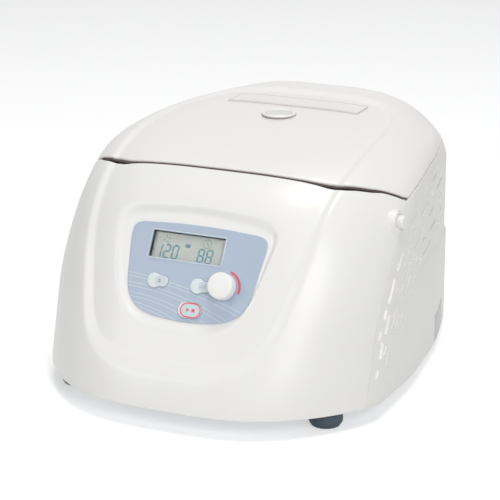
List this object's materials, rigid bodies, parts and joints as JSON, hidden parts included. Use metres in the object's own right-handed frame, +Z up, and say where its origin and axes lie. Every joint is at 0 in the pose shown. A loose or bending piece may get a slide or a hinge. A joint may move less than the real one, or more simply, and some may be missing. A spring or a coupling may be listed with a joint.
{
  "type": "hematocrit centrifuge",
  "caption": "Bench centrifuge for capillary tubes: domed housing, wrap-round hinged lid with sight glass, sloped control panel with display, keys and knob.",
  "frame": {"origin": "centre of the bounding box at the feet's undersides", "axes": "+X towards the release button side (the operator's right), -Y towards the operator, +Z up"},
  "size_m": [0.28, 0.32, 0.1996],
  "materials": {
    "shell": "satin moulded off-white",
    "lid": "satin moulded off-white",
    "side": "fine satin off-white",
    "film": "printed film, slate blue",
    "key": "soft-touch pale grey",
    "knob": "satin white",
    "lcd": "pale grey-green display",
    "clear": "clear moulded plastic",
    "steel": "brushed",
    "zinc": "plated sheet",
    "aluminium": "anodised, turned",
    "rubber": "matt",
    "black": "fine grain",
    "board": "solder-masked laminate",
    "plate": "bare grey label stock"
  },
  "bodies": {
    "housing": {"front_casing": "shell", "release_collar": "shell", "side_panel_left": "side", "side_panel_right": "side", "top_deck": "side", "rear_panel": "side", "lcd_window": "clear", "panel_overlay": "film", "lcd_module": "lcd", "control_board": "board", "power_board": "board", "deck_seal": "rubber", "damper_front_left": "rubber", "damper_front_right": "rubber", "damper_rear_left": "rubber", "damper_rear_right": "rubber", "foot_front_left": "rubber", "foot_front_right": "rubber", "foot_rear_left": "rubber", "foot_rear_right": "rubber", "chamber_bowl": "steel", "hinge_pin_left": "steel", "hinge_pin_right": "steel", "foot_screw_front_left": "steel", "foot_screw_front_right": "steel", "foot_screw_rear_left": "steel", "foot_screw_rear_right": "steel", "motor": "zinc", "motor_mount": "zinc", "base_plate": "zinc", "hinge_bracket_left": "zinc", "hinge_bracket_right": "zinc", "mains_inlet": "black", "fuse_drawer": "black", "power_switch_frame": "black", "latch_guide": "black", "rating_plate": "plate"},
    "lid": {"lid_shell": "lid", "lid_liner": "side", "lid_hook": "zinc", "window_ring": "lid", "window_lens": "clear", "label_film": "key", "hinge_arm_left": "zinc", "hinge_arm_right": "zinc"},
    "rotor": {"rotor_disc": "aluminium", "rotor_gasket": "rubber", "rotor_cover": "clear", "clamp_nut": "black", "motor_shaft": "steel"},
    "release": {"release_button": "knob", "release_rod": "steel", "latch_slider": "zinc"},
    "speed_knob": {"knob": "knob", "knob_shaft": "steel"},
    "select": {"select_key": "key"},
    "pulse": {"pulse_key": "key"},
    "start_stop": {"start_stop_key": "key"},
    "rocker": {"power_switch_rocker": "black"}
  },
  "joints": [
    {"name": "lid_hinge", "type": "hinge", "parent": "housing", "child": "lid", "pos_m": [0, 0.1535, 0.161], "axis": [-1, 0, 0], "range_deg": [0, 80]},
    {"name": "rotor_spin", "type": "hinge", "parent": "housing", "child": "rotor", "pos_m": [0, 0.045, 0.13], "axis": [0, 0, 1], "continuous": true},
    {"name": "knob_turn", "type": "hinge", "parent": "housing", "child": "speed_knob", "pos_m": [0.0283, -0.10909, 0.10141], "axis": [0.0267, -0.8908, 0.4536], "continuous": true},
    {"name": "select_press", "type": "slide", "parent": "housing", "child": "select", "axis": [0.0163, 0.8926, -0.4505], "range_m": [0, 0.0006], "stiffness_N_per_m": 350},
    {"name": "pulse_press", "type": "slide", "parent": "housing", "child": "pulse", "axis": [-0.0014, 0.8922, -0.4516], "range_m": [0, 0.0006], "stiffness_N_per_m": 350},
    {"name": "start_stop_press", "type": "slide", "parent": "housing", "child": "start_stop", "axis": [-0.0007, 0.8889, -0.4582], "range_m": [0, 0.0006], "stiffness_N_per_m": 350},
    {"name": "release_press", "type": "slide", "parent": "housing", "child": "release", "axis": [-1, 0, 0], "range_m": [0, 0.004], "stiffness_N_per_m": 400},
    {"name": "power_rock", "type": "hinge", "parent": "housing", "child": "rocker", "pos_m": [0.056, 0.1547, 0.062], "axis": [1, 0, 0], "range_deg": [0, 24]}
  ]
}
